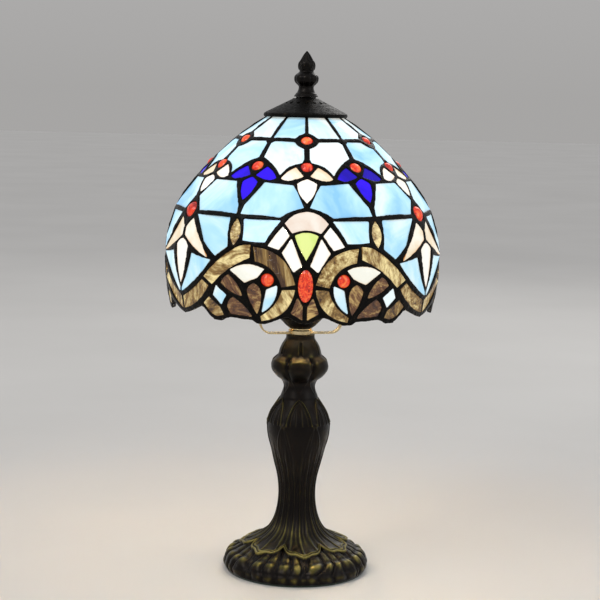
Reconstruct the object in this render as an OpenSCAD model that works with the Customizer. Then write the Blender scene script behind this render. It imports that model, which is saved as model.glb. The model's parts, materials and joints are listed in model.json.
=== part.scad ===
// Table lamp with a leaded glass dome on a cast bronze stem.
// Millimetres, +Z up, origin on the table under the lamp's axis, front towards -Y.

/* [Shade] */
// Thickness of every glass pane
glass_t = 2; // [1.6:0.1:2.4]
// Thickness of the soldered seams between the panes
seam_t = 3.4; // [3:0.1:4]
// How far every pane's edge lies outside its drawn outline: more makes the seams finer
pane_gain = 0.4; // [0:0.1:0.4]
// Radius of the shade's top opening, at the middle of the seams
neck_r = 26.5; // [26.3:0.1:27]
// Height of the shade's top opening
neck_z = 347; // [346.8:0.1:347.2]
// Radius of the small round jewels
jewel_r = 4.5; // [4:0.1:4.6]
// Radius of the three large round jewels
big_jewel_r = 6; // [5.5:0.1:6.2]
// Radius of the round jewels on the crown ring
ring_jewel_r = 4.25; // [3.8:0.05:4.4]
// Radius of the round jewels inside the crescents
curl_jewel_r = 4.65; // [4:0.05:4.7]

/* [Base] */
// Largest radius of the foot
foot_r = 56; // [54:0.5:58]
// Thickness of the felt pad under the foot
felt_t = 1.5; // [1:0.1:2]
// Height of the top of the cast stem
stem_top_z = 183.2; // [182:0.1:184]
// Outer radius of the threaded pipe
pipe_r = 5; // [4.8:0.1:5.2]
// Bore radius of the threaded pipe
pipe_bore_r = 3.6; // [3:0.1:4]
// Radius of the hole that the cord passes through at the back
cord_hole_r = 3.2; // [3:0.1:3.6]

/* [Harp] */
// Outer width of the harp
harp_w = 64; // [62:1:66]
// Width of the harp's strip
harp_strip_w = 6; // [5:0.5:8]
// Thickness of the harp's strip
harp_strip_t = 1.2; // [1:0.1:1.6]
// Height of the harp's top face
harp_top_z = 345.5; // [345:0.1:345.6]
// Turn of the harp about the lamp's axis
harp_turn = 10; // [0:5:45]
// Radius of the threaded stud on the harp
stud_r = 3; // [2.8:0.1:3]

/* [Bulb and holder] */
// Radius of the globe bulb
globe_r = 22.5; // [20:0.5:23]
// Radius of the bulb's screw cap, over the threads
screw_r = 13.05; // [12.9:0.05:13.1]
// Height of the bulb's contact button
contact_z = 204.4; // [204:0.1:205]

/* [Cap and finial] */
// Outer radius of the vented cap
cap_r = 31.5; // [31:0.1:32]
// Height of the cap's top face
cap_top_z = 361; // [360.5:0.1:361]
// Height of the finial's point
finial_tip_z = 396; // [394:0.5:398]

/* [Hidden] */
$fn = 96;
fit_gap = 0.05;             // radial room between parts that are pushed together
turn_gap = 0.3;             // room round parts that turn in other bodies

// The meridian of the shade's mid surface, from the top opening down: arcs of [length, turn].
NECK_HEADING = 29;          // slope below the horizontal at the opening
DOME_ARCS = [[30, 12.5], [44, 8], [54, 37], [45, 18.5]];
SHADE_END = 174;            // length of the meridian where the lowest glass ends
CUT_DEPTH = 24;             // longer than any pane's hole needs to be
THIRD = 120;                // the pattern repeats three times round the shade
RED = "#d2301c";
SKY = "#a9d8f5";
CREAM = "#fff1cf";
BROWN = "#8a6a3c";
BRONZE = "#3b3420";
BRASS = "#c9a14e";

// ---------- geometry of the dome ----------

function unit(v) = v / norm(v);
function total(list) = [for (item = list) 1] * list;

// Radius, height and heading of the mid surface at length s along the meridian.
function meridian(s, i = 0, r = neck_r, z = neck_z, heading = NECK_HEADING) =
    let (arc = DOME_ARCS[i],
         last = i == len(DOME_ARCS) - 1,
         d = last ? s : min(s, arc[0]),
         radius = arc[0] / arc[1] * 180 / PI,
         end = heading + arc[1] * d / arc[0],
         r_end = r + radius * (sin(end) - sin(heading)),
         z_end = z + radius * (cos(end) - cos(heading)))
    last || s <= arc[0] ? [r_end, z_end, end] : meridian(s - arc[0], i + 1, r_end, z_end, end);

// A point at angle a from the front and length s, lifted out of the mid surface.
function on_dome(a, s, lift = 0) =
    let (m = meridian(s), r = m[0] + lift * sin(m[2]), z = m[1] + lift * cos(m[2]))
    [r * sin(a), -r * cos(a), z];

// An outline is a list of [angle, length, bulge], clockwise as seen from outside. The bulge is how
// far, in millimetres, the edge to the next corner bows out of the pane.
function bulge(corner) = len(corner) > 2 ? corner[2] : 0;

function traced(outline) = [
    for (i = [0 : len(outline) - 1])
        let (p = outline[i],
             q = outline[(i + 1) % len(outline)],
             b = bulge(p),
             steps = b == 0 ? 1 : abs(b) < 1 ? 3 : abs(b) < 3 ? 4 : 7,
             mm = meridian((p[1] + q[1]) / 2)[0] * PI / 180,
             dx = (q[0] - p[0]) * mm,
             ds = q[1] - p[1],
             chord = norm([dx, ds]))
        for (k = [0 : steps - 1])
            let (t = k / steps, bow = 4 * t * (1 - t) * b / chord)
            [p[0] + t * (q[0] - p[0]) + bow * ds / mm, p[1] + t * ds - bow * dx]
];

// The whole outline of a pane that its own middle line mirrors, from its right half.
function both_halves(half) =
    let (n = len(half) - 1)
    concat([for (i = [0 : n - 1]) half[i]],
           [[half[n][0], half[n][1], bulge(half[n - 1])]],
           [for (i = [n - 1 : -1 : 1]) [-half[i][0], half[i][1], bulge(half[i - 1])]]);

// A flat outline with every edge moved out by d.
function grown(flat, d) = [
    for (i = [0 : len(flat) - 1])
        let (a = unit(flat[i] - flat[(i + len(flat) - 1) % len(flat)]),
             b = unit(flat[(i + 1) % len(flat)] - flat[i]),
             m = [a.y + b.y, -a.x - b.x])
        flat[i] + m * 2 * d / (m * m)
];

// A flat prism through the outline's points on the dome.
module flat_pane(outline, thick, grow = 0) {
    points = [for (p = traced(outline)) on_dome(p[0], p[1])];
    n = len(points);
    centre = total(points) / n;
    out = unit(total([for (i = [0 : n - 1]) cross(points[i], points[(i + 1) % n])]));
    across = unit(cross([0, 0, 1], out));
    up = cross(out, across);
    flat = [for (p = points) [(p - centre) * across, (p - centre) * up]];
    multmatrix([for (i = [0 : 2]) [across[i], up[i], out[i], centre[i]]])
        translate([0, 0, -thick / 2]) linear_extrude(thick) polygon(grown(flat, grow));
}

// Stands children on the dome with their Z axis pointing out of it.
module at_dome(a, s) {
    translate(on_dome(a, s)) rotate([0, 0, a]) rotate([meridian(s)[2], 0, 0]) children();
}

// The same piece on both sides of the front line.
module both_sides() {
    for (side = [0, 1]) mirror([side, 0, 0]) children();
}

// Copies of what stands in one sixth of the shade: mirrored in each third of it.
module sixths() {
    thirds() both_sides() children();
}

// Copies of what mirrors itself: at the front of each third, or half way between with at = 60.
module thirds(at = 0) {
    for (k = [0 : 2]) rotate([0, 0, k * THIRD + at]) children();
}

// Panes, or the holes that hold them.
module pane(outline, hole) {
    flat_pane(outline, hole ? CUT_DEPTH : glass_t, pane_gain + (hole ? fit_gap : 0));
}

// A round cabochon with a flat back, or its hole.
module round_jewel(a, s, r, hole) {
    at_dome(a, s)
        if (hole) cylinder(r = r + fit_gap, h = CUT_DEPTH, center = true);
        else cabochon(r);
}

module cabochon(r) {
    ball_r = r * 1.25;
    edge_z = 0.6;
    rise = sqrt(ball_r * ball_r - r * r);
    translate([0, 0, -glass_t / 2]) cylinder(r = r, h = glass_t / 2 + edge_z);
    translate([0, 0, edge_z - rise]) intersection() {
        sphere(r = ball_r);
        translate([0, 0, rise]) cylinder(r = r, h = ball_r);
    }
}

// ---------- glass ----------

module crown_panels(hole = false) {
    panel = [[2.6, 1.9], [27.4, 1.9], [28.2, 27.2], [9.6, 27.2, -0.5], [2.1, 21.3]];
    color(SKY) for (at = [0, 60]) thirds(at) both_sides() pane(panel, hole);
}

module shoulder_panels(hole = false) {
    panel = [[10, 31], [25.6, 31], [27.9, 33.5], [27.9, 47.2, -1.9], [14.6, 63, -2.7], [3, 51.6],
             [2, 48.5], [2.2, 38.5, -0.6]];
    color(SKY) for (at = [0, 60]) thirds(at) both_sides() pane(panel, hole);
}

module ring_jewels(hole = false) {
    color(RED) for (a = [0 : 60 : 300]) round_jewel(a, 29.3, ring_jewel_r, hole);
}

module fleur_jewels(hole = false) {
    color(RED) for (a = [0 : 30 : 330]) round_jewel(a, 55.5, jewel_r, hole);
}

FLEUR_PETAL = [[6.5, 56.2, 1.2], [13.5, 66.4, 0.3], [10, 68.1, 0.5], [2, 64.2]];

module fleur_petals(first, hole) {
    for (a = [first : 60 : first + 300]) rotate([0, 0, a]) both_sides() pane(FLEUR_PETAL, hole);
}

module white_fleur_petals(hole = false) {
    color(CREAM) fleur_petals(0, hole);
}

module blue_fleur_petals(hole = false) {
    color("#3208d8") fleur_petals(30, hole);
}

module white_fleur_drops(hole = false) {
    long = both_halves([[0, 66.8, 0.4], [4.8, 71, 1.4], [0, 86.5]]);
    short = both_halves([[0, 66.8, 0.4], [4.8, 70.6, 1.2], [0, 82]]);
    color("white") thirds() pane(long, hole);
    color("white") thirds(60) pane(short, hole);
}

module blue_fleur_drops(hole = false) {
    drop = both_halves([[0, 66.3, 0.4], [4.1, 70.5, 1.2], [0, 85.8]]);
    color("#3208d8") for (a = [30 : 60 : 330]) rotate([0, 0, a]) pane(drop, hole);
}

module waist_panels(hole = false) {
    front = [[6.8, 72.6], [21.6, 70.4], [28.3, 90], [28.8, 96.7], [11.3, 97.8, -1.2], [1.5, 90.4],
             [4.8, 78]];
    side = [[38.3, 70.6], [52.9, 70.6], [54.8, 75], [58.3, 85.6], [53.6, 96.4], [31.2, 96.5],
            [31.7, 90]];
    color(SKY) sixths() { pane(front, hole); pane(side, hole); }
}

module fan_caps(hole = false) {
    color("#f3cfc4") thirds() pane(both_halves([[0, 93.4, 2.2], [8.8, 102.3], [5.8, 108.7, -0.5],
                                                [0, 106.4]]), hole);
}

module fan_wedges(hole = false) {
    color("#c9ef6a") thirds() pane(both_halves([[0, 108.6, 0.5], [4.6, 110.8, 0.5], [0, 127]]), hole);
}

module fan_sides(hole = false) {
    upper = [[9.7, 105, 0.5], [15.1, 118.2], [10.9, 120.5], [7, 110.8]];
    lower = [[6, 113.2], [9.4, 122.8], [4.7, 135.8], [1.8, 131.5]];
    color("white") sixths() { pane(upper, hole); pane(lower, hole); }
}

module oval_jewels(hole = false) {
    half_w = 5.2;
    half_h = 11.4;
    color(RED) thirds() at_dome(0, 145.5)
        if (hole) oval_disc(half_w + fit_gap, half_h + fit_gap, CUT_DEPTH, -CUT_DEPTH / 2);
        else hull() {
            oval_disc(half_w, half_h, glass_t, -glass_t / 2);
            oval_disc(half_w - 1.6, half_h - 1.8, glass_t + 1.2, -glass_t / 2);
            oval_disc(half_w - 3.2, half_h - 4.5, glass_t + 1.8, -glass_t / 2);
        }
}

module oval_disc(half_w, half_h, thick, from_z) {
    turns = 32;
    translate([0, 0, from_z]) linear_extrude(thick)
        polygon([for (i = [0 : turns - 1]) [half_w * cos(i * 360 / turns), half_h * sin(i * 360 / turns)]]);
}

module amber_tips(hole = false) {
    color("#b98b34") sixths() pane([[3, 154.2], [5.4, 165.2], [1.1, 169.6], [1.1, 160.4]], hole);
}

module belt_panels(hole = false) {
    front = [[11.1, 100.6], [27, 100.5, -0.4], [25.9, 115.3, 0.3], [16.7, 115.8, -0.5]];
    side = [[33.8, 100], [52.3, 100], [45.6, 118, 0.3], [38.2, 127.3], [32.8, 120.4, -0.6]];
    color(SKY) sixths() { pane(front, hole); pane(side, hole); }
}

module almonds(hole = false) {
    color(BROWN) for (a = [30 : 60 : 330]) rotate([0, 0, a])
        pane([[0, 100.8, 3.7], [0, 118.8, 3.7]], hole);
}

module large_jewels(hole = false) {
    color(RED) thirds(60) round_jewel(0, 96.5, big_jewel_r, hole);
}

module large_fleur_petals(hole = false) {
    side = [[55.3, 103.4, 0.4], [59.1, 110], [58.9, 115.6, 1.3], [42.9, 128.6, 0.4]];
    middle = both_halves([[0, 118.5, 0.8], [4.6, 123, 1.9], [0, 149.5]]);
    color(CREAM) sixths() pane(side, hole);
    color(CREAM) thirds(60) pane(middle, hole);
}

module large_fleur_leaves(hole = false) {
    leaf = [[40.9, 131, -0.4], [52.4, 127.9, -0.9], [59.1, 154], [59.1, 155.6, 2.3]];
    color(SKY) sixths() pane(leaf, hole);
}

// The rippled brown crescent round each curl, in four pieces.
module crescents(hole = false) {
    upper_inner = [[20.9, 119.8], [20.1, 129, -3.9], [9.2, 146.3], [4.2, 144.4, 7.2]];
    upper_outer = [[22.6, 118.5, 1.3], [31, 123.2, 1.5], [43.6, 142.8], [39.8, 147.4, -2],
                   [22.6, 126.8]];
    lower_inner = [[4.2, 148.4], [9, 149, -2.5], [17.9, 168.4], [17.6, 171.2, 6]];
    lower_outer = [[45.3, 145.8, -0.9], [59.1, 160.2], [59.1, 168.4, 3.3], [41.9, 149.2]];
    color(BROWN) sixths() {
        pane(upper_inner, hole);
        pane(upper_outer, hole);
        pane(lower_inner, hole);
        pane(lower_outer, hole);
    }
}

module curl_jewels(hole = false) {
    color(RED) sixths() round_jewel(15.1, 142, curl_jewel_r, hole);
}

module curl_fans(hole = false) {
    color("white") sixths() pane([[16.6, 134.6, 3.4], [30.7, 136.4], [24.6, 144.5], [19.3, 140.4]], hole);
}

module curl_drops(hole = false) {
    first = [[20.6, 144.9, 0.8], [23.4, 150, 1.2], [19.5, 166, 1.2], [17.9, 150, 0.8]];
    second = [[31.8, 140.2, 0.9], [35.1, 146, 1.5], [25.8, 154.2, 1.7]];
    third = [[29.8, 155.8, 0.9], [32.8, 162.5], [31.6, 168], [21.9, 168.6, 1.2]];
    color("#9a7a44") sixths() {
        pane(first, hole);
        pane(second, hole);
        pane(third, hole);
    }
}

module curl_diamonds(hole = false) {
    color(SKY) sixths() pane([[37.8, 148.6], [39.5, 155.5], [35.7, 161.6], [33.2, 154.6]], hole);
}

module curl_slivers(hole = false) {
    color("#c4e4f7") sixths() pane([[11.2, 145.8], [15.3, 148.8], [17.4, 165, 3.2]], hole);
}

module curl_corners(hole = false) {
    corner = [[42, 157.6], [45.1, 162.4], [42.2, 168.3, 0.4], [38.5, 170.9], [35.3, 169.3],
              [36.4, 164.4]];
    color("#7a3b17") sixths() pane(corner, hole);
}

// ---------- seams ----------

// A band of the dome between two lengths along the meridian.
module dome_band(first, last, thick) {
    steps = 14;
    lengths = [for (i = [0 : steps]) first + (last - first) * i / steps];
    skin = function (lift) [for (s = lengths)
        let (m = meridian(s)) [m[0] + lift * sin(m[2]), m[1] + lift * cos(m[2])]];
    inner = skin(-thick / 2);
    outer = skin(thick / 2);
    rotate_extrude() polygon(concat(outer, [for (i = [steps : -1 : 0]) inner[i]]));
}

// What is cut from the band's lower edge to leave the scalloped rim.
module rim_cuts() {
    below = 184;
    front = both_halves([[0, 172.4], [2, 171.9], [7.1, 167.2], [10, 168.9], [14, 171.9], [18, 174.4],
                         [18, below], [0, below]]);
    middle = [[18.8, 174.4], [21.5, 171], [26.4, 170.7], [32, 170.2], [34, 171.3], [37.5, 174.4],
              [37.5, below], [18.8, below]];
    side = both_halves([[0, 172.2], [5, 170], [10, 166.8], [13.4, 164.3], [15.2, 166], [18.2, 171],
                        [21, 174.4], [21, below], [0, below]]);
    thirds() flat_pane(front, CUT_DEPTH, -pane_gain);
    thirds(60) flat_pane(side, CUT_DEPTH, -pane_gain);
    sixths() flat_pane(middle, CUT_DEPTH, -pane_gain);
}

module solder_lattice() {
    color("#1c1712") difference() {
        dome_band(0, SHADE_END, seam_t);
        rim_cuts();
        crown_panels(true);
        shoulder_panels(true);
        ring_jewels(true);
        fleur_jewels(true);
        white_fleur_petals(true);
        blue_fleur_petals(true);
        white_fleur_drops(true);
        blue_fleur_drops(true);
        waist_panels(true);
        fan_caps(true);
        fan_wedges(true);
        fan_sides(true);
        oval_jewels(true);
        amber_tips(true);
        belt_panels(true);
        almonds(true);
        large_jewels(true);
        large_fleur_petals(true);
        large_fleur_leaves(true);
        crescents(true);
        curl_jewels(true);
        curl_fans(true);
        curl_drops(true);
        curl_diamonds(true);
        curl_slivers(true);
        curl_corners(true);
    }
}

// ---------- cast base ----------

// Points of a smooth curve through the given ones, each stretch in the given number of steps.
function smooth(p, steps = 4) = let (n = len(p) - 1) [
    for (i = [0 : n - 1])
        let (a = p[max(i - 1, 0)], b = p[i], c = p[i + 1], d = p[min(i + 2, n)])
        for (k = [0 : steps - 1])
            let (t = k / steps)
            0.5 * (2 * b + (c - a) * t + (2 * a - 5 * b + 4 * c - d) * t * t
                   + (3 * b - a - 3 * c + d) * t * t * t),
    p[n]
];

// The casting's outside, as radius and height, from the foot's edge to the stem's top.
CASTING = concat(
    [[foot_r - 2, felt_t]],
    smooth([[foot_r - 0.6, 5], [foot_r, 9], [foot_r - 2.6, 13.8], [44, 19.2], [33, 24.2], [22.8, 30.5],
            [16.6, 41], [13.9, 56], [15, 72], [19.3, 89], [23.7, 108], [21.8, 121], [16, 131],
            [11.6, 142.5]]),
    smooth([[12.4, 147], [18, 151.8], [22, 157.5], [20.4, 163], [16.2, 167]]),
    smooth([[16.1, 170], [13.9, 175.5], [11.2, 179]]),
    [[10.9, 179.2], [10.9, stem_top_z]]);
CAVITY_TOP_Z = 24;          // ceiling of the hollow under the foot
INLET_Z = 8.6;              // height of the cord's hole
SPOT_FACE = 1.6;            // depth of the flat that the bushing's flange sits in
FOOT_TOP_Z = 41;            // where the stem's casting stands on the foot's

module felt_pad() {
    color("#101010") cylinder(r = foot_r - 3, h = felt_t);
}

// Foot and stem as one turned solid, without their holes.
module cast_body() {
    rotate_extrude() polygon(concat([[0, felt_t]], CASTING, [[0, stem_top_z]]));
}

module foot_casting() {
    hollow = [[0, felt_t - 1], [foot_r - 7, felt_t - 1], [foot_r - 7, 9], [22, 20], [12, CAVITY_TOP_Z],
              [0, CAVITY_TOP_Z]];
    color(BRONZE) difference() {
        cast_body();
        translate([0, 0, FOOT_TOP_Z]) cylinder(r = foot_r, h = stem_top_z);
        rotate_extrude() polygon(hollow);
        cylinder(r = pipe_r + fit_gap, h = FOOT_TOP_Z + 10);
        translate([0, 0, INLET_Z]) rotate([-90, 0, 0])
            cylinder(r = cord_hole_r + 1.4 + fit_gap, h = foot_r + 5);
        translate([0, foot_r - SPOT_FACE, INLET_Z]) rotate([-90, 0, 0])
            cylinder(r = cord_hole_r + 2.6, h = 10);
    }
}

module stem_casting() {
    color(BRONZE) difference() {
        cast_body();
        translate([0, 0, -1]) cylinder(r = foot_r + 5, h = FOOT_TOP_Z + 1);
        cylinder(r = pipe_r + fit_gap, h = stem_top_z + 10);
    }
}

module cord_bushing() {
    barrel_l = 9;
    color("#0c0c0c") translate([0, foot_r - SPOT_FACE, INLET_Z]) rotate([-90, 0, 0]) difference() {
        union() {
            translate([0, 0, -barrel_l]) cylinder(r = cord_hole_r + 1.4, h = barrel_l + 1);
            cylinder(r = cord_hole_r + 2.5, h = SPOT_FACE);
        }
        translate([0, 0, -barrel_l - 1]) cylinder(r = cord_hole_r, h = barrel_l + 12);
    }
}

// ---------- threaded pipe and what is clamped on it ----------

WASHER_T = 1.5;
NUT_T = 3.5;
PIPE_LOW_Z = CAVITY_TOP_Z - WASHER_T - NUT_T - 2.5;
HARP_LOW_Z = stem_top_z;
RING_Z = HARP_LOW_Z + harp_strip_t;
CUP_Z = RING_Z + 3.2;
CUP_FLOOR_Z = CUP_Z + 1.4;
PIPE_HIGH_Z = CUP_FLOOR_Z + NUT_T + 2;

module pipe_hole(z, h) {
    translate([0, 0, z - 1]) cylinder(r = pipe_r + fit_gap, h = h + 2);
}

module hex_nut(z, across_flats) {
    difference() {
        translate([0, 0, z]) cylinder(d = across_flats / cos(30), h = NUT_T, $fn = 6);
        pipe_hole(z, NUT_T);
    }
}

module threaded_pipe() {
    color("silver") difference() {
        translate([0, 0, PIPE_LOW_Z]) cylinder(r = pipe_r, h = PIPE_HIGH_Z - PIPE_LOW_Z);
        translate([0, 0, PIPE_LOW_Z - 1]) cylinder(r = pipe_bore_r, h = PIPE_HIGH_Z - PIPE_LOW_Z + 2);
    }
}

module pipe_washer() {
    z = CAVITY_TOP_Z - WASHER_T;
    color("silver") difference() {
        translate([0, 0, z]) cylinder(r = 10, h = WASHER_T);
        pipe_hole(z, WASHER_T);
    }
}

module pipe_nut_lower() {
    color("silver") hex_nut(CAVITY_TOP_Z - WASHER_T - NUT_T, 14);
}

module pipe_nut_upper() {
    color("silver") hex_nut(CUP_FLOOR_Z, 13);
}

module neck_ring() {
    profile = [[0, RING_Z], [9.2, RING_Z], [9.2, RING_Z + 1.6],
               [8.4, RING_Z + 2.4], [8.4, CUP_Z], [0, CUP_Z]];
    color(BRASS) difference() {
        rotate_extrude() polygon(profile);
        pipe_hole(RING_Z, CUP_Z - RING_Z);
    }
}

// A flat frame's outline with round corners, standing on z = low.
module round_frame(half_w, low, high, low_r, high_r) {
    for (side = [-1, 1]) {
        translate([side * (half_w - low_r), low + low_r]) circle(r = low_r);
        translate([side * (half_w - high_r), high - high_r]) circle(r = high_r);
    }
    translate([-half_w, low + low_r]) square([2 * half_w, high - low - low_r - high_r]);
    translate([low_r - half_w, low]) square([2 * (half_w - low_r), high - low - high_r]);
    translate([high_r - half_w, low + low_r]) square([2 * (half_w - high_r), high - low - low_r]);
}

// The strip that is bent into a closed loop round the bulb.
module harp() {
    low_r = 9;
    high_r = 25;
    t = harp_strip_t;
    eye_r = 8.4;            // the round eyes in the strip that the pipe and the stud pass through
    top_eye_r = 5;
    color(BRASS) rotate([0, 0, harp_turn]) difference() {
        union() {
            translate([0, harp_strip_w / 2, 0]) rotate([90, 0, 0]) linear_extrude(harp_strip_w) difference() {
                round_frame(harp_w / 2, HARP_LOW_Z, harp_top_z, low_r, high_r);
                round_frame(harp_w / 2 - t, HARP_LOW_Z + t, harp_top_z - t, low_r - t, high_r - t);
            }
            translate([0, 0, HARP_LOW_Z]) cylinder(r = eye_r, h = t);
            translate([0, 0, harp_top_z - t]) cylinder(r = top_eye_r, h = t);
        }
        pipe_hole(HARP_LOW_Z, t);
        translate([0, 0, harp_top_z - 3]) cylinder(r = stud_r + fit_gap, h = 6);
    }
}

module harp_stud() {
    head_t = 2;
    under = harp_top_z - harp_strip_t;
    color(BRASS) {
        translate([0, 0, under - head_t]) cylinder(r = stud_r + 1.6, h = head_t);
        translate([0, 0, under - head_t]) cylinder(r = stud_r, h = STUD_TOP_Z - under + head_t);
    }
}

// ---------- lampholder and bulb ----------

SCREW_TOP_Z = contact_z + 27;       // top of the bulb's screw cap
GLOBE_Z = contact_z + 78 - globe_r; // middle of the globe
HOLDER_LOW_Z = contact_z - 8;
HOLDER_TOP_Z = SCREW_TOP_Z - 0.6;
CUP_R = 16.9;
CUP_TOP_Z = 206;
shell_r = screw_r + turn_gap;       // inside of the lampholder's screw shell

module socket_cup() {
    wall = 1.2;
    outside = [[8.5, CUP_Z], [11.4, CUP_Z + 2.2], [13.9, CUP_Z + 4.9],
               [CUP_R, CUP_Z + 7.9], [CUP_R, CUP_TOP_Z]];
    inside = [[CUP_R - wall, CUP_TOP_Z], [CUP_R - wall, CUP_Z + 8.4], [12.6, CUP_Z + 5.6],
              [10, CUP_FLOOR_Z + 1.5], [9, CUP_FLOOR_Z], [0, CUP_FLOOR_Z], [0, CUP_Z]];
    color(BRONZE) difference() {
        rotate_extrude() polygon(concat(outside, inside));
        pipe_hole(CUP_Z, 3);
    }
}

module lampholder_body() {
    floor_t = 5;
    color("#1a1714") difference() {
        union() {
            translate([0, 0, HOLDER_LOW_Z])
                cylinder(r = CUP_R - 1.2 - fit_gap, h = CUP_TOP_Z - HOLDER_LOW_Z);
            translate([0, 0, CUP_TOP_Z]) cylinder(r = CUP_R, h = HOLDER_TOP_Z - CUP_TOP_Z);
        }
        translate([0, 0, HOLDER_LOW_Z + floor_t]) cylinder(r = shell_r + 0.5 + fit_gap, h = 40);
        for (side = [-1, 1]) translate([side * 9.5, 0, HOLDER_LOW_Z - 1])
            cylinder(r = 1.5 + fit_gap, h = floor_t);
    }
}

module screw_shell() {
    low = HOLDER_LOW_Z + 5;
    color(BRASS) difference() {
        translate([0, 0, low]) cylinder(r = shell_r + 0.5, h = HOLDER_TOP_Z - low - 1);
        translate([0, 0, low - 1]) cylinder(r = shell_r, h = 40);
    }
}

module centre_contact() {
    low = HOLDER_LOW_Z + 5;
    color(BRASS) {
        translate([0, 0, low]) cylinder(r = 5, h = 1);
        translate([0, 0, low]) cylinder(r = 3, h = contact_z - low);
    }
}

module terminal_screws() {
    color("silver") for (side = [-1, 1]) translate([side * 9.5, 0, HOLDER_LOW_Z]) {
        translate([0, 0, -1.2]) cylinder(r = 2.6, h = 1.2);
        translate([0, 0, -1.2]) cylinder(r = 1.5, h = 4.7);
    }
}

INSULATOR_Z = contact_z + 1.4;
CAP_LOW_Z = contact_z + 5;

module bulb_contact() {
    color("silver") translate([0, 0, contact_z]) cylinder(r = 4.6, h = INSULATOR_Z - contact_z);
}

module bulb_insulator() {
    color("#151515") translate([0, 0, INSULATOR_Z])
        cylinder(r1 = 5.4, r2 = 10.5, h = CAP_LOW_Z - INSULATOR_Z);
}

module bulb_screw_cap() {
    wall = 0.4;
    profile = [[0, CAP_LOW_Z], [10.5, CAP_LOW_Z], [screw_r, CAP_LOW_Z + 2.5], [screw_r, SCREW_TOP_Z],
               [screw_r - wall, SCREW_TOP_Z], [screw_r - wall, CAP_LOW_Z + 2.8], [10.2, CAP_LOW_Z + wall],
               [0, CAP_LOW_Z + wall]];
    color("#c8c3b4") rotate_extrude() polygon(profile);
}

// The globe with its neck, as a closed shell that ends inside the screw cap.
module bulb_glass() {
    wall = 0.8;
    neck = screw_r - 0.5;
    color("#fff4d8") difference() {
        union() {
            translate([0, 0, GLOBE_Z]) sphere(r = globe_r);
            translate([0, 0, SCREW_TOP_Z - 8]) cylinder(r = neck, h = GLOBE_Z - SCREW_TOP_Z);
        }
        translate([0, 0, GLOBE_Z]) sphere(r = globe_r - wall);
        translate([0, 0, SCREW_TOP_Z - 9]) cylinder(r = neck - wall, h = GLOBE_Z - SCREW_TOP_Z);
    }
}

module bulb_stem() {
    foot_z = CAP_LOW_Z + 4;
    color("white") {
        translate([0, 0, foot_z]) cylinder(r = 10, h = 1.2);
        translate([0, 0, foot_z]) cylinder(r = 3.6, h = GLOBE_Z - foot_z - 12);
    }
}

module bulb_filament() {
    span = 9;
    wire_r = 0.35;
    foot_z = GLOBE_Z - 14;
    color("#ffb347") difference() {
        union() {
            for (side = [-1, 1]) translate([side * span, 0, foot_z + 1])
                cylinder(r = wire_r, h = GLOBE_Z - foot_z);
            translate([-span, 0, GLOBE_Z]) rotate([0, 90, 0]) cylinder(r = 0.9, h = 2 * span);
            translate([-span, 0, foot_z + 1.4]) rotate([0, 90, 0]) cylinder(r = wire_r, h = 2 * span);
        }
        translate([0, 0, foot_z - 2]) cylinder(r = 3.6 + fit_gap, h = 5);
    }
}

// ---------- cap and finial ----------

WASHER_TOP_Z = cap_top_z + 1;
STUD_TOP_Z = WASHER_TOP_Z + 11;
CAP_T = 1.6;
RIM_Z = 347;                        // underside of the cap's rim
SEAT_GAP = 0.05;                    // room under the cap's hub, over the harp
EAVE = [cap_r - 2.4, RIM_Z + 1.6];                  // outer foot of the cap's inner slope
HUB = [7, cap_top_z - 1.2 - CAP_T];                 // inner top of that slope

// Height of the cap's inner slope at a radius.
function under_cap(r) = EAVE[1] + (EAVE[0] - r) / (EAVE[0] - HUB[0]) * (HUB[1] - EAVE[1]);

module cap() {
    profile = [[0, cap_top_z], [9.5, cap_top_z], [10.6, cap_top_z - 0.8],
               [cap_r - 1.7, RIM_Z + 3.5], [cap_r - 0.4, RIM_Z + 2.6], [cap_r, RIM_Z + 1.4],
               [cap_r - 0.4, RIM_Z + 0.3], [cap_r - 1, RIM_Z], EAVE, HUB,
               [HUB[0], harp_top_z + SEAT_GAP], [0, harp_top_z + SEAT_GAP]];
    vents = 16;
    color(BRONZE) difference() {
        rotate_extrude() polygon(profile);
        translate([0, 0, harp_top_z - 5]) cylinder(r = stud_r + turn_gap, h = 30);
        for (i = [0 : vents - 1]) rotate([0, 0, i * 360 / vents]) translate([15.5, 0, RIM_Z])
            cylinder(r = 1.4, h = 20);
    }
}

// The brass ring that lines the shade's top opening and carries the cap.
module shade_collar() {
    wall_r = neck_r - 1.1;
    flange_r = neck_r + 0.6;
    profile = [[wall_r - 1, neck_z - 4], [wall_r, neck_z - 4], [wall_r, neck_z + 1.9],
               [flange_r, neck_z + 1.9], [flange_r, under_cap(flange_r)],
               [wall_r - 1, under_cap(wall_r - 1)]];
    color(BRASS) rotate_extrude() polygon(profile);
}

module finial_washer() {
    color(BRASS) difference() {
        translate([0, 0, cap_top_z]) cylinder(r = 7.5, h = WASHER_TOP_Z - cap_top_z);
        translate([0, 0, cap_top_z - 1]) cylinder(r = stud_r + fit_gap, h = 3);
    }
}

module finial() {
    low = WASHER_TOP_Z;
    k = (finial_tip_z - low) / 34;
    knots = [[8.9, 0], [8.9, 0.8], [7, 3], [5.7, 6], [5.9, 8.2], [8.4, 10.8], [9, 13], [8.6, 15.6], [5.3, 18.7],
             [5.3, 19.4], [6.1, 22], [6.1, 25], [4.5, 28], [2.3, 31.5], [0.6, 33.8]];
    outside = [for (p = smooth(knots, 3)) [p[0], low + p[1] * k]];
    color(BRONZE) difference() {
        rotate_extrude() polygon(concat([[0, low]], outside, [[0, finial_tip_z]]));
        translate([0, 0, low - 1]) cylinder(r = stud_r + fit_gap, h = STUD_TOP_Z - low + 2);
    }
}

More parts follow.
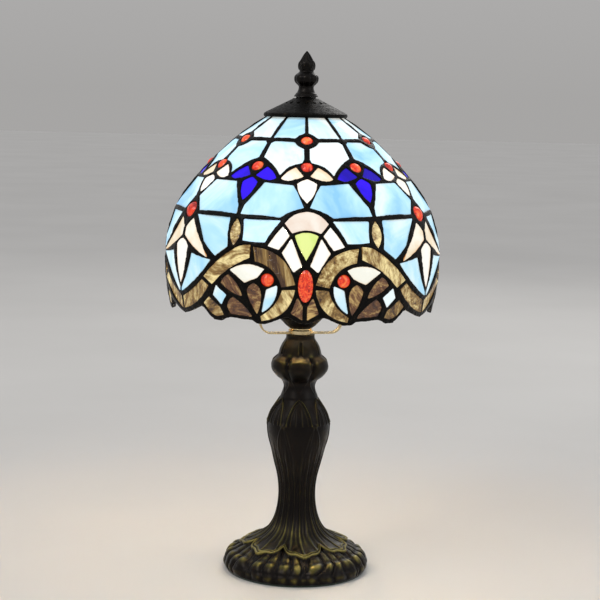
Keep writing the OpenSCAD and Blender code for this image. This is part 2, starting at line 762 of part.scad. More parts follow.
felt_pad();
foot_casting();
stem_casting();
cord_bushing();
threaded_pipe();
pipe_washer();
pipe_nut_lower();
harp();
harp_stud();
neck_ring();
socket_cup();
pipe_nut_upper();
lampholder_body();
screw_shell();
centre_contact();
terminal_screws();
bulb_contact();
bulb_insulator();
bulb_screw_cap();
bulb_glass();
bulb_stem();
bulb_filament();
finial_washer();
finial();
cap();
shade_collar();
solder_lattice();
crown_panels();
shoulder_panels();
ring_jewels();
fleur_jewels();
white_fleur_petals();
blue_fleur_petals();
white_fleur_drops();
blue_fleur_drops();
waist_panels();
fan_caps();
fan_wedges();
fan_sides();
oval_jewels();
amber_tips();
belt_panels();
almonds();
large_jewels();
large_fleur_petals();
large_fleur_leaves();
crescents();
curl_jewels();
curl_fans();
curl_drops();
curl_diamonds();
curl_slivers();
curl_corners();
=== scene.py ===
"""The looks of a leaded glass table lamp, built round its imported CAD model.

Lengths are in metres unless a name ends in _mm. Angles round the lamp start at
the front (-Y) and grow towards the right (+X).
"""

import json
import math

import bpy
import numpy as np
from mathutils import Matrix, Vector, noise
from mathutils.bvhtree import BVHTree


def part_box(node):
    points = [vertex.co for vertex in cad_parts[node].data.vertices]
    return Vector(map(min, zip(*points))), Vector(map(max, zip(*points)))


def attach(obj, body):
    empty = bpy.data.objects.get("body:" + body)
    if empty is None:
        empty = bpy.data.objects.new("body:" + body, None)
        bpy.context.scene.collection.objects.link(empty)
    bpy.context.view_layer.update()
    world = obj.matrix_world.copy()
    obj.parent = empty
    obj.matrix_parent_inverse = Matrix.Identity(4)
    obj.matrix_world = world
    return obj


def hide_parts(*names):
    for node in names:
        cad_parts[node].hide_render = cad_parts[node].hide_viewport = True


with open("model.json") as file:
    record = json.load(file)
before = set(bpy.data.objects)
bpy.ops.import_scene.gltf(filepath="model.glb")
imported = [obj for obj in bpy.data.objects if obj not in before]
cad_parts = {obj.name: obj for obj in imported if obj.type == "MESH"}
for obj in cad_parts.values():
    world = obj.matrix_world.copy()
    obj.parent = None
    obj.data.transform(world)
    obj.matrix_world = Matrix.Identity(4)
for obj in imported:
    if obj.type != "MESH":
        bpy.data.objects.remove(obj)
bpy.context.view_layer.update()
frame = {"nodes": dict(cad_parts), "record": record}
nodes = frame["nodes"]
MM = 0.001

# ---------- short calls for materials ----------


class Tree:
    """A new material with one Principled shader, and short calls for the nodes that feed it."""

    def __init__(self, name, **sockets):
        self.material = bpy.data.materials.new(name)
        self.material.use_nodes = True
        self.tree = self.material.node_tree
        self.shader = self.tree.nodes["Principled BSDF"]
        self.place = self.node("ShaderNodeTexCoord").outputs["Object"]
        self.set(**sockets)

    def node(self, kind, **settings):
        made = self.tree.nodes.new(kind)
        for key, value in settings.items():
            setattr(made, key, value)
        return made

    def feed(self, socket, value):
        """Gives a socket a link, a number, a colour or a vector."""
        if isinstance(value, bpy.types.NodeSocket):
            self.tree.links.new(value, socket)
        elif isinstance(value, tuple) and len(value) == 3 and socket.type == "RGBA":
            socket.default_value = (*value, 1)
        else:
            socket.default_value = value

    def set(self, **sockets):
        """Feeds the shader's sockets, written like Base_Color."""
        for key, value in sockets.items():
            self.feed(self.shader.inputs[key.replace("_", " ")], value)

    def height(self):
        """Height above the table, in metres."""
        made = self.node("ShaderNodeSeparateXYZ")
        self.feed(made.inputs[0], self.place)
        return made.outputs["Z"]

    def math(self, operation, a, b):
        made = self.node("ShaderNodeMath", operation=operation)
        self.feed(made.inputs[0], a)
        self.feed(made.inputs[1], b)
        return made.outputs[0]

    def vector(self, operation, a, b):
        made = self.node("ShaderNodeVectorMath", operation=operation)
        self.feed(made.inputs[0], a)
        self.feed(made.inputs[1], b)
        return made.outputs["Value" if operation == "DISTANCE" else "Vector"]

    def mapped(self, scale, at=None):
        """Coordinates stretched, in the lamp's own frame."""
        made = self.node("ShaderNodeMapping")
        self.feed(made.inputs["Vector"], at or self.place)
        made.inputs["Scale"].default_value = scale
        return made.outputs[0]

    def noise(self, per_metre, detail=3.0, rough=0.5, swirl=0.0, at=None):
        made = self.node("ShaderNodeTexNoise")
        self.feed(made.inputs["Vector"], at or self.place)
        made.inputs["Scale"].default_value = per_metre
        made.inputs["Detail"].default_value = detail
        made.inputs["Roughness"].default_value = rough
        made.inputs["Distortion"].default_value = swirl
        return made.outputs["Fac"]

    def ramp(self, value, *stops):
        """A colour ramp from (position, colour) stops."""
        made = self.node("ShaderNodeValToRGB")
        elements = made.color_ramp.elements
        while len(elements) < len(stops):
            elements.new(0.5)
        for element, (position, colour) in zip(elements, stops):
            element.position = position
            element.color = (*colour, 1)
        self.feed(made.inputs["Fac"], value)
        return made.outputs["Color"]

    def spread(self, value, low, high, to_low=0.0, to_high=1.0):
        """Maps low..high to to_low..to_high, smoothly, and stops there."""
        made = self.node("ShaderNodeMapRange", interpolation_type="SMOOTHSTEP")
        limits = {"From Min": low, "From Max": high, "To Min": to_low, "To Max": to_high}
        for name, number in limits.items():
            made.inputs[name].default_value = number
        self.feed(made.inputs["Value"], value)
        return made.outputs["Result"]

    def mix(self, share, a, b, blend="MIX"):
        made = self.node("ShaderNodeMix", data_type="RGBA", blend_type=blend)
        self.feed(made.inputs["Factor"], share)
        first, second, result = 6, 7, 2         # the sockets that carry colours
        self.feed(made.inputs[first], a)
        self.feed(made.inputs[second], b)
        return made.outputs[result]

    def bump(self, height, depth):
        """Small relief of that depth in metres on the shader's normal."""
        made = self.node("ShaderNodeBump")
        self.feed(made.inputs["Height"], height)
        made.inputs["Distance"].default_value = depth
        made.inputs["Strength"].default_value = 1.0
        self.set(Normal=made.outputs[0])


# ---------- lit glass ----------

BULB = sum(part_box("bulb_glass"), Vector()) / 2
SHADE_REACH = 0.098         # the bulb's usual distance from the glass
GLOW_FALL = 1.1             # power at which the glow falls off with that distance
# The painted shade along the seams reaches this far into the glass.
SEAM_SHADE_REACH = 0.0022         # how far from a seam its shade is seen in the glass
SHOULDER = (0.285, 0.305)   # heights between which the panes grow paler


# seam is the tint that the painted shade along the seams multiplies into the glass colour.
def glass(name, dark, mid, pale, lit, wisp=30, stretch=0.45, edges=(0.36, 0.5, 0.64), fine=0.16,
          by_pane=0.3, seam=(0.62, 0.50, 0.42), ripple=0.00012, ripple_size=130, shine=1.0,
          upper=0.0):
    """Art glass lit from behind: wisps of three colours that run another way in each pane, a wavy
    surface, a painted shade along the seams (darker and warmer where the solder beads occlude the
    glass), and a painted glow: emission that stands in for the bulb's light through the glass and
    falls off with the bulb's distance. upper makes the panes near the top paler."""
    t = Tree(name, Roughness=0.16, IOR=1.5, Specular_IOR_Level=0.5 * shine, Coat_Weight=0.2 * shine,
             Coat_Roughness=0.06)
    pane = t.node("ShaderNodeNewGeometry").outputs["Random Per Island"]
    turned = t.node("ShaderNodeVectorRotate")
    turned.inputs["Axis"].default_value = (0.5, 0.8, 0.3)
    t.feed(turned.inputs["Vector"], t.place)
    t.feed(turned.inputs["Angle"], t.math("MULTIPLY", pane, 40.0))
    shifted = t.vector("ADD", turned.outputs[0], t.math("MULTIPLY", pane, 7.0))
    wisps = t.noise(wisp, 4, 0.55, 1.2, t.mapped((1, 1, stretch), at=shifted))
    hairs = t.noise(wisp * 6, 3, 0.6, 0.4, t.mapped((1, 1, stretch * 0.6), at=shifted))
    blend = t.math("ADD", t.math("MULTIPLY", wisps, 1 - fine), t.math("MULTIPLY", hairs, fine))
    blend = t.math("ADD", blend, t.math("MULTIPLY", t.math("SUBTRACT", pane, 0.5), by_pane))
    if upper:
        blend = t.math("ADD", blend, t.spread(t.height(), *SHOULDER, 0.0, upper))
    colour = t.ramp(blend, (edges[0], dark), (edges[1], mid), (edges[2], pale))
    # Painted shade: ambient occlusion finds where the solder beads stand over the glass, and there the
    # colour is multiplied by the seam tint.
    seam_occlusion = t.node("ShaderNodeAmbientOcclusion", samples=6, only_local=False)
    seam_occlusion.inputs["Distance"].default_value = SEAM_SHADE_REACH
    painted_seam_shade = t.spread(seam_occlusion.outputs["AO"], 0.45, 1.0, 1.0, 0.0)
    colour = t.mix(painted_seam_shade, colour, t.mix(1.0, colour, seam, "MULTIPLY"))
    # Painted glow: emission that is brighter nearer the bulb stands in for the bulb's light passing
    # through the glass.
    distance = t.vector("DISTANCE", t.place, tuple(BULB))
    glow = t.math("POWER", t.math("DIVIDE", SHADE_REACH, distance), GLOW_FALL)
    t.set(Base_Color=t.mix(0.8, colour, (0.01, 0.01, 0.01)),
          Emission_Color=t.vector("MULTIPLY", colour, glow), Emission_Strength=lit)
    t.bump(t.noise(ripple_size, 2, 0.5, 0.6, shifted), ripple)
    return t.material


# In the glass makers below, seam is the tint of the painted shade along the seams, and the number after
# the three colours is the strength of the painted glow.
def sky_glass():
    return glass("sky_glass", (0.24, 0.55, 0.88), (0.46, 0.77, 0.95), (0.82, 0.95, 0.98), 1.0,
                 wisp=20, edges=(0.30, 0.48, 0.66), fine=0.09, by_pane=0.18, upper=0.07)


def cream_glass():
    return glass("cream_glass", (0.86, 0.72, 0.50), (0.96, 0.90, 0.76), (1.0, 0.97, 0.90), 0.95,
                 seam=(0.88, 0.46, 0.20))


def white_glass():
    return glass("white_glass", (0.86, 0.86, 0.76), (0.96, 0.96, 0.90), (1.0, 1.0, 0.97), 1.0,
                 seam=(0.90, 0.58, 0.32))


def cobalt_glass():
    return glass("cobalt_glass", (0.012, 0.001, 0.40), (0.022, 0.001, 0.74), (0.034, 0.003, 1.0), 0.95,
                 seam=(0.3, 0.3, 0.4), shine=0.25)


def red_glass():
    return glass("red_glass", (0.26, 0.003, 0.002), (0.84, 0.040, 0.008), (1.0, 0.26, 0.05), 0.95,
                 wisp=150, stretch=1, edges=(0.32, 0.5, 0.72), by_pane=0.12, ripple=0.0004,
                 ripple_size=420)


def pink_glass():
    return glass("pink_glass", (0.84, 0.44, 0.32), (0.88, 0.72, 0.60), (0.96, 0.88, 0.78), 0.88,
                 edges=(0.30, 0.42, 0.6), seam=(0.8, 0.55, 0.4))


def green_glass():
    return glass("green_glass", (0.40, 0.68, 0.07), (0.58, 0.82, 0.13), (0.82, 0.93, 0.32), 0.9,
                 seam=(0.75, 0.6, 0.3))


def brown_glass():
    """Rippled golden brown glass with pale streaks."""
    return glass("brown_glass", (0.050, 0.020, 0.006), (0.28, 0.165, 0.044), (0.92, 0.76, 0.36), 0.95,
                 wisp=110, stretch=0.14, edges=(0.37, 0.49, 0.65), fine=0.28, by_pane=0.14,
                 ripple=0.0010, ripple_size=300)


def amber_glass():
    """Mottled glass between purple brown and gold."""
    return glass("amber_glass", (0.034, 0.010, 0.005), (0.145, 0.060, 0.020), (0.60, 0.40, 0.14), 0.9,
                 wisp=150, stretch=0.4, edges=(0.36, 0.5, 0.68), fine=0.3, by_pane=0.1,
                 ripple=0.0008, ripple_size=330)


# ---------- metals and the rest ----------


def patina_solder():
    """Solder blackened with patina, a little uneven and rubbed brown on its high spots."""
    t = Tree("patina_solder", Metallic=0.6, IOR=1.5, Specular_IOR_Level=0.2)
    spots = t.noise(300, 4, 0.6)
    t.set(Base_Color=t.ramp(spots, (0.35, (0.002, 0.002, 0.002)), (0.6, (0.006, 0.005, 0.004)),
                            (0.8, (0.034, 0.022, 0.014))),
          Roughness=t.spread(t.noise(700, 3), 0.3, 0.7, 0.28, 0.5))
    t.bump(t.noise(900, 3, 0.6), 0.00012)
    return t.material


def antique_bronze():
    """Dark cast bronze with olive gold rubbed onto whatever stands proud, less of it on the stem and
    at the foot's rim, and extra gold on the collar as a painted highlight of the bulb's light from
    above.
    """
    t = Tree("antique_bronze", Metallic=0.82, IOR=1.5, Coat_Weight=0.08, Coat_Roughness=0.3)
    proud = t.node("ShaderNodeAttribute", attribute_name="proud").outputs["Fac"]
    patches = t.noise(55, 4, 0.6, 0.5)
    rub = t.math("ADD", proud, t.math("MULTIPLY", t.math("SUBTRACT", patches, 0.5), 0.75))
    on_stem = t.spread(t.height(), 0.030, 0.050, 0.0, 0.20)
    on_rim = t.spread(t.height(), 0.009, 0.016, 0.22, 0.0)
    # Painted highlight: more gold on the collar stands in for the bulb's light falling on it from above.
    # rub below is real rubbed wear plus this painted highlight.
    painted_collar_highlight = t.spread(t.height(), 0.14, 0.17, 0.0, 0.20)
    rub = t.math("ADD", t.math("SUBTRACT", rub, t.math("ADD", on_stem, on_rim)), painted_collar_highlight)
    colour = t.ramp(rub, (0.34, (0.005, 0.003, 0.002)), (0.54, (0.018, 0.013, 0.005)),
                    (0.76, (0.080, 0.068, 0.015)), (0.98, (0.24, 0.20, 0.055)))
    grain = t.noise(1500, 3, 0.65)
    speckle = t.ramp(grain, (0.3, (0.5, 0.5, 0.5)), (0.7, (1, 1, 1)))
    t.set(Base_Color=t.mix(0.35, colour, speckle, "MULTIPLY"),
          Roughness=t.spread(t.noise(260, 4), 0.3, 0.7, 0.3, 0.5))
    t.bump(t.math("ADD", t.noise(420, 4, 0.6), t.math("MULTIPLY", grain, 0.3)), 0.00016)
    return t.material


def black_bronze():
    """The nearly black bronze of the cap, with worn edges and a cast grain."""
    t = Tree("black_bronze", Metallic=0.4, IOR=1.4, Specular_IOR_Level=0.1)
    wear = t.noise(140, 5, 0.65)
    t.set(Base_Color=t.ramp(wear, (0.35, (0.002, 0.002, 0.002)), (0.6, (0.006, 0.005, 0.004)),
                            (0.84, (0.045, 0.032, 0.018))),
          Roughness=t.spread(t.noise(500, 3), 0.3, 0.7, 0.38, 0.6))
    t.bump(t.noise(650, 4, 0.6), 0.00012)
    return t.material


def plated(name, tint, dull, rough=(0.2, 0.36)):
    """Turned or drawn plated metal: fine tool lines round the axis, and a cloudy tarnish."""
    t = Tree(name, Metallic=1.0)
    tarnish = t.noise(120, 4, 0.6)
    t.set(Base_Color=t.ramp(tarnish, (0.35, dull), (0.65, tint)),
          Roughness=t.spread(t.noise(420, 3), 0.3, 0.7, *rough))
    t.bump(t.noise(260, 2, 0.5, 0.0, t.mapped((1, 1, 18))), 0.00004)
    return t.material


def brass():
    return plated("satin_brass", (0.86, 0.70, 0.42), (0.62, 0.46, 0.22))


def steel():
    return plated("zinc_steel", (0.60, 0.60, 0.58), (0.36, 0.35, 0.33))


def felt():
    """Dark green wool felt: short fibres and a soft nap."""
    t = Tree("wool_felt", Roughness=0.95, Sheen_Weight=0.5, Sheen_Roughness=0.5)
    fibres = t.noise(2600, 4, 0.75, 0.6, t.mapped((1, 1, 2.5)))
    t.set(Base_Color=t.ramp(fibres, (0.3, (0.004, 0.012, 0.007)), (0.7, (0.022, 0.050, 0.030))))
    t.bump(fibres, 0.0003)
    return t.material


def moulded_plastic():
    t = Tree("moulded_plastic", IOR=1.49)
    t.set(Base_Color=t.ramp(t.noise(900, 3), (0.3, (0.010, 0.010, 0.010)), (0.7, (0.022, 0.021, 0.020))),
          Roughness=t.spread(t.noise(600, 3), 0.3, 0.7, 0.34, 0.5))
    t.bump(t.noise(3200, 2), 0.00003)
    return t.material


def lit_bulb():
    """Frosted glass with the lamp on: warmer and dimmer towards the neck."""
    t = Tree("lit_bulb", Roughness=0.3, Base_Color=(0.9, 0.86, 0.78))
    low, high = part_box("bulb_glass")
    up = t.spread(t.height(), low.z, high.z - 0.012)
    frost = t.spread(t.noise(600, 2), 0.3, 0.7, 0.94, 1.0)
    warm = t.ramp(up, (0.0, (0.80, 0.40, 0.13)), (0.45, (1.0, 0.70, 0.38)), (1.0, (1.0, 0.78, 0.50)))
    t.set(Emission_Color=t.vector("MULTIPLY", warm, frost), Emission_Strength=105.0)
    t.bump(t.noise(2400, 2), 0.00002)
    return t.material


def tungsten():
    t = Tree("tungsten", Metallic=1.0, Roughness=0.4, Emission_Strength=20.0)
    glow = t.ramp(t.noise(800, 2), (0.3, (1.0, 0.45, 0.15)), (0.7, (1.0, 0.62, 0.28)))
    t.set(Base_Color=glow, Emission_Color=glow)
    return t.material


def clear_glass():
    t = Tree("stem_glass", Transmission_Weight=0.9, IOR=1.47, Base_Color=(0.95, 0.97, 0.96))
    t.set(Roughness=t.spread(t.noise(300, 3), 0.3, 0.7, 0.02, 0.1))
    t.bump(t.noise(200, 2), 0.00005)
    return t.material


# ---------- shapes ----------


def smooth_shading(mesh):
    """Smooth faces, with the sharper edges kept crisp."""
    mesh.shade_smooth()
    mesh.set_sharp_from_angle(angle=math.radians(35))


def new_piece(name, mesh, material, body, slot, *replaced):
    piece = bpy.data.objects.new(name, mesh)
    bpy.context.scene.collection.objects.link(piece)
    mesh.materials.clear()
    mesh.materials.append(material)
    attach(piece, body)
    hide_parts(*replaced)
    return piece


def outline_of(names, step, soften):
    """The outer outline of turned nodes at the front, as (radius, height) rows at equal steps along
    it, with facets shorter than soften smoothed out."""
    trees = [BVHTree.FromPolygons([v.co for v in nodes[n].data.vertices],
                                  [p.vertices for p in nodes[n].data.polygons]) for n in names]
    inset, far = 0.00008, 0.2
    low_z = min(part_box(n)[0].z for n in names) + inset
    high_z = max(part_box(n)[1].z for n in names) - inset
    seen = []
    for z in np.arange(low_z, high_z, 0.00005):
        hits = [tree.ray_cast(Vector((0, -far, z)), Vector((0, 1, 0)))[3] for tree in trees]
        seen.append((z, min((hit for hit in hits if hit is not None), default=None)))
    points = np.array([(far - hit, z) for z, hit in seen if hit is not None and hit < far])
    along = np.concatenate([[0], np.cumsum(np.hypot(*np.diff(points, axis=0).T))])
    even = np.arange(0, along[-1], step)
    rows = np.column_stack([np.interp(even, along, points[:, 0]), np.interp(even, along, points[:, 1])])
    return eased(rows, max(2, round(soften / step)))


def eased(rows, reach):
    """The outline with its small facets smoothed out, and both ends left where they are."""
    window = np.hanning(2 * reach + 3)[1:-1]
    window /= window.sum()
    padded = np.concatenate([np.repeat(rows[:1], reach, 0), rows, np.repeat(rows[-1:], reach, 0)])
    smooth = np.column_stack([np.convolve(padded[:, k], window, "valid") for k in (0, 1)])
    share = np.clip(np.minimum(np.arange(len(rows)), np.arange(len(rows))[::-1]) / reach, 0, 1)[:, None]
    return rows * (1 - share) + smooth * share


def blurred(grid, reach):
    """Mean over a square window, round the lamp and along the outline."""
    out = grid.copy()
    for axis in (0, 1):
        mode = "edge" if axis == 0 else "wrap"
        pad = [(reach, reach) if a == axis else (0, 0) for a in (0, 1)]
        summed = np.cumsum(np.insert(np.pad(out, pad, mode=mode), 0, 0, axis=axis), axis=axis)
        width = 2 * reach + 1
        size = out.shape[axis]
        take = lambda a, s: a[s] if axis == 0 else a[:, s]
        out = (take(summed, slice(width, width + size)) - take(summed, slice(0, size))) / width
    return out


PROUD_REACH = 9             # rows and columns that count as a point's surroundings
PROUD_LIFT = 0.0019         # the difference in height between wholly sunk and wholly proud


def turned_relief(name, outline, relief, columns):
    """A closed mesh turned from an outline, with relief(radius, height, angle) in metres added
    along the outline's normal. The attribute proud says how far each point stands out."""
    rows = len(outline)
    angle = np.linspace(0, 2 * math.pi, columns, endpoint=False)
    radius = np.repeat(outline[:, :1], columns, axis=1)
    height = np.repeat(outline[:, 1:], columns, axis=1)
    along = np.gradient(outline, axis=0)
    along /= np.linalg.norm(along, axis=1, keepdims=True)
    lift = relief(radius, height, np.repeat(angle[None, :], rows, axis=0))
    proud = np.clip(0.5 + (lift - blurred(lift, PROUD_REACH)) / PROUD_LIFT, 0, 1)
    out_r = radius + lift * along[:, 1:]
    out_z = height - lift * along[:, :1]
    points = np.stack([out_r * np.sin(angle), -out_r * np.cos(angle), out_z], axis=-1).reshape(-1, 3)
    ends = np.array([[0, 0, outline[0, 1]], [0, 0, outline[-1, 1]]])
    faces = []
    for i in range(rows - 1):
        a, b = i * columns, (i + 1) * columns
        faces += [(a + j, a + (j + 1) % columns, b + (j + 1) % columns, b + j) for j in range(columns)]
    bottom, top = rows * columns, rows * columns + 1
    last = (rows - 1) * columns
    faces += [(bottom, (j + 1) % columns, j) for j in range(columns)]
    faces += [(top, last + j, last + (j + 1) % columns) for j in range(columns)]
    mesh = bpy.data.meshes.new(name)
    mesh.from_pydata(np.vstack([points, ends]).tolist(), [], faces)
    marks = mesh.attributes.new("proud", "FLOAT", "POINT")
    marks.data.foreach_set("value", np.concatenate([proud.ravel(), [0.5, 0.5]]).astype(np.float32))
    mesh.validate()
    mesh.shade_smooth()
    return mesh


def ridge(distance, width):
    """A rounded ridge of height 1 where distance is 0."""
    return np.exp(-(distance / width) ** 2)


def fade(value, start, stop):
    """0 before start and 1 after stop, smooth between them; stop may be the lower one."""
    t = np.clip((value - start) / (stop - start), 0, 1)
    return t * t * (3 - 2 * t)


def off_centre(angle, count, first=0.0):
    """The angle in degrees from the nearest of count directions round the lamp."""
    pitch = 360 / count
    return (np.degrees(angle) - first + pitch / 2) % pitch - pitch / 2


def wander(height, size=0.012):
    """Slow random drift between -1 and 1 over the casting, the same on every run."""
    rows, columns = height.shape
    coarse = np.empty((rows // 4 + 2, columns // 4))
    for i in range(coarse.shape[0]):
        for j in range(coarse.shape[1]):
            a = 2 * math.pi * j / coarse.shape[1]
            up = height[min(i * 4, rows - 1), 0] / size
            at = Vector((math.cos(a) * 2.2, math.sin(a) * 2.2, up))
            coarse[i, j] = noise.noise(at)
    full = np.repeat(np.repeat(coarse, 4, axis=0), 4, axis=1)[:rows, :columns]
    return blurred(full, 4)


# ---------- the cast base ----------


def lower_leaves(r, angle, drift):
    """The ribs of the lower leaves: each leaf's ribs lean towards its middle, and end in round knobs."""
    leaf = off_centre(angle, 7, 33) / (180 / 7)
    uneven = 0.05 * np.sin(5 * angle + 0.7) + 0.04 * np.sin(11 * angle)
    lean = leaf * (1 + 0.35 * (0.056 - r) / 0.02) + 0.22 * drift + uneven
    ribs = np.abs(np.sin(math.pi * 2 * lean))
    fine = np.abs(np.sin(math.pi * 4 * lean + 0.6))
    rib = 1.9 * MM * (ribs ** 0.6 - 1) + 0.25 * MM * fine
    valley = -1.4 * MM * ridge(np.abs(leaf) - 1, 0.12)
    curled = 0.7 * MM * ridge((r - 0.0512 - 0.001 * drift) / 0.0026, 1.0) * ribs
    crease = -0.6 * MM * ridge((r - 0.0478) / 0.0016, 1.0) * ribs
    return rib + valley + curled + crease


def upper_edge(angle, drift):
    """Radius at which the upper leaves end: round lobes with deep notches between them."""
    lobe = np.cos(np.radians(off_centre(angle, 7, 8) * 7 / 2))
    waves = 0.9 * np.cos(7 * 3 * (angle - math.radians(8)))
    return (33.5 + 9.5 * np.clip(lobe, 0, 1) ** 0.7 + waves + 1.2 * drift) * MM


def foot_relief(r, z, angle, drift):
    """Two layers of leaves on the foot. The upper ones end in a rolled, double edge."""
    edge = upper_edge(angle, drift)
    inside = edge - r
    on_upper = fade(inside, -0.0003, 0.0003)
    rolled = MM * (ridge(inside - 0.9 * MM, 0.9 * MM) + 0.55 * ridge(inside - 3.4 * MM, 0.7 * MM))
    groove = -0.45 * MM * ridge(inside - 2.2 * MM, 0.6 * MM)
    veins = off_centre(angle + 0.05 * drift, 21, 8)
    vein = 0.8 * MM * ridge(veins * r * math.pi / 180, 0.75 * MM) * fade(inside, 0.002, 0.006)
    hollow = -0.5 * MM * fade(inside, 0.003, 0.008)
    upper = rolled + groove + vein + hollow
    lower = lower_leaves(r, angle, drift) - 1.0 * MM
    side_wall = fade(z, 0.0055, 0.0095)
    return (upper * on_upper + lower * (1 - on_upper)) * side_wall \
        + 0.6 * lower_leaves(np.full_like(r, 0.0515), angle, drift) * (1 - side_wall)


def flutes(z, angle, drift):
    """Thin upright ridges round the stem, which die out in the vase."""
    wavy = angle + 0.05 * drift
    line = ridge(off_centre(wavy, 21, 8), 2.6)
    between = ridge(off_centre(wavy, 21, 8 + 360 / 42), 1.6)
    strength = fade(z, 0.106, 0.080)
    return (0.95 * MM * line + 0.3 * MM * between - 0.55 * MM) * strength


def arch_half_width(up):
    """Half width in degrees of a pointed arch at a share of its height."""
    return 24 * np.clip(1 - np.clip(up, 0, 1) ** 2, 0, 1) ** 0.56


def vase_leaves(z, angle):
    """Six pointed arches with a second line inside, two ribs, and curled feet."""
    foot, tip = 0.1155, 0.1340
    up = (z - foot) / (tip - foot)
    side = np.abs(off_centre(angle, 6))
    body = fade(up, -0.06, 0.02) * fade(up, 1.08, 0.98)
    outer = ridge(side - arch_half_width(up), 1.9) * body
    inner = 0.7 * ridge(side - 0.72 * arch_half_width(up * 1.12), 1.7) * body * fade(up, 0.93, 0.8)
    ribs = 0.55 * ridge(side - 6.5, 1.5) * body * fade(up, 0.72, 0.5)
    field = -0.35 * fade(side - arch_half_width(up), -1, 3) * body
    curl = 0.8 * ridge(np.hypot((side - 27) / 3.6, (z - foot + 0.0004) / 0.0016), 1.0)
    return 1.15 * MM * (outer + inner + ribs + field + curl)


def low_arches(z, angle):
    """Open pointed arches that hang from the curls, between the flutes and the vase's leaves."""
    tip, depth = 0.1150, 0.030
    down = np.clip((tip - z) / depth, 0, 1)
    side = np.abs(off_centre(angle, 6, 30))
    line = ridge(side - 21 * down ** 0.6, 2.0) + 0.6 * ridge(side - 13 * down ** 0.7, 1.8)
    return 0.55 * MM * line * fade(z, tip + 0.0005, tip - 0.002) * fade(down, 1.0, 0.4)


def collar_lobes(z, angle):
    """Six round lobes on the collar, which run down into points on the neck below."""
    side = np.abs(off_centre(angle, 6))
    around = fade(z, 0.1465, 0.152) * fade(z, 0.168, 0.1645)
    cleft = -2.6 * MM * ridge((side - 30) / 5.5, 1.0) * around
    swell = 0.9 * MM * np.cos(np.radians(side * 3)) * around
    rim = 0.3 * MM * ridge(z - 0.1635 + 0.00004 * side, 0.0009) * around
    below = fade(z, 0.135, 0.140) * fade(z, 0.153, 0.149)
    point = 30 * np.clip((z - 0.1375) / 0.013, 0, 1) ** 0.8
    return cleft + swell + rim + 0.35 * MM * ridge(side - point, 2.6) * below


def melon(z, angle):
    """The ribbed bulb above the collar: beaded seams, one of them at the front."""
    around = fade(z, 0.1675, 0.169) * fade(z, 0.1795, 0.1765)
    seam = ridge(off_centre(angle, 6), 3.2)
    lip = ridge(off_centre(angle, 6) - 6, 2.6) + ridge(off_centre(angle, 6) + 6, 2.6)
    bead = ridge(off_centre(angle, 6), 1.1)
    return MM * around * (-0.9 * seam + 0.8 * bead + 0.3 * lip)


def base_relief(r, z, angle):
    drift = wander(z)
    on_foot = fade(r, 0.0265, 0.031) * fade(z, 0.034, 0.030)
    lift = foot_relief(r, z, angle, drift) * on_foot
    lift += flutes(z, angle, drift) * (1 - on_foot)
    lift += vase_leaves(z, angle) + low_arches(z, angle) + collar_lobes(z, angle) + melon(z, angle)
    lift += 0.12 * MM * drift
    low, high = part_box("cord_bushing")
    from_inlet = np.hypot(r * np.sin(angle), z - (low.z + high.z) / 2)
    behind = np.cos(angle) < 0
    spot = fade(from_inlet, 0.0062, 0.0085)
    flat = np.where(behind, spot, 1.0)
    spot_face = np.where(behind & (from_inlet < 0.0075), high.y - 0.0016 - r, 0.0)
    return lift * flat * fade(z, 0.0014, 0.004) + np.where(from_inlet < 0.0068, spot_face, 0.0)


def build_base():
    castings = ["foot_casting", "stem_casting"]
    mesh = turned_relief("cast_base", outline_of(castings, 0.0005, 0.0045), base_relief, 720)
    return new_piece("cast_base", mesh, antique_bronze(), "lamp", "cast_bronze", *castings)


# ---------- finial ----------


def finial_relief(r, z, angle):
    """Round lobes on the knob, small leaf tips on the tier above it, and grooves up the bud."""
    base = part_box("finial")[0].z
    up = z - base
    knob = fade(up, 0.0075, 0.0095) * fade(up, 0.0175, 0.0155)
    lobes = 0.55 * MM * (np.abs(np.cos(angle * 4)) ** 0.7 - 0.7) * knob
    side = np.abs(off_centre(angle, 6))
    leaf = ridge(side - 26 * np.clip((0.0265 - up) / 0.0062, 0, 1) ** 0.6, 4.5)
    tier = fade(up, 0.0195, 0.0205) * fade(up, 0.0275, 0.0262)
    grooves = 0.28 * MM * np.cos(angle * 6) * fade(up, 0.026, 0.028) * fade(up, 0.0336, 0.031)
    skirt = 0.22 * MM * ridge(up - 0.0024, 0.0006)
    return lobes + 0.45 * MM * leaf * tier + grooves + skirt


def build_finial():
    mesh = turned_relief("turned_finial", outline_of(["finial"], 0.0002, 0.0012), finial_relief, 192)
    return new_piece("turned_finial", mesh, antique_bronze_dark(), "finial", "dark_bronze", "finial")


def antique_bronze_dark():
    """The finial's bronze: nearly black, with gold only on the sharpest edges."""
    t = Tree("antique_bronze_dark", Metallic=0.8, IOR=1.5, Coat_Weight=0.03, Coat_Roughness=0.25)
    proud = t.node("ShaderNodeAttribute", attribute_name="proud").outputs["Fac"]
    rub = t.math("ADD", proud, t.math("MULTIPLY", t.math("SUBTRACT", t.noise(160, 4, 0.6), 0.5), 0.4))
    t.set(Base_Color=t.ramp(rub, (0.40, (0.003, 0.002, 0.002)), (0.66, (0.008, 0.006, 0.004)),
                            (0.94, (0.085, 0.062, 0.030))),
          Roughness=t.spread(t.noise(500, 3), 0.3, 0.7, 0.28, 0.48))
    t.bump(t.noise(900, 3, 0.6), 0.0001)
    return t.material


# ---------- solder seams ----------


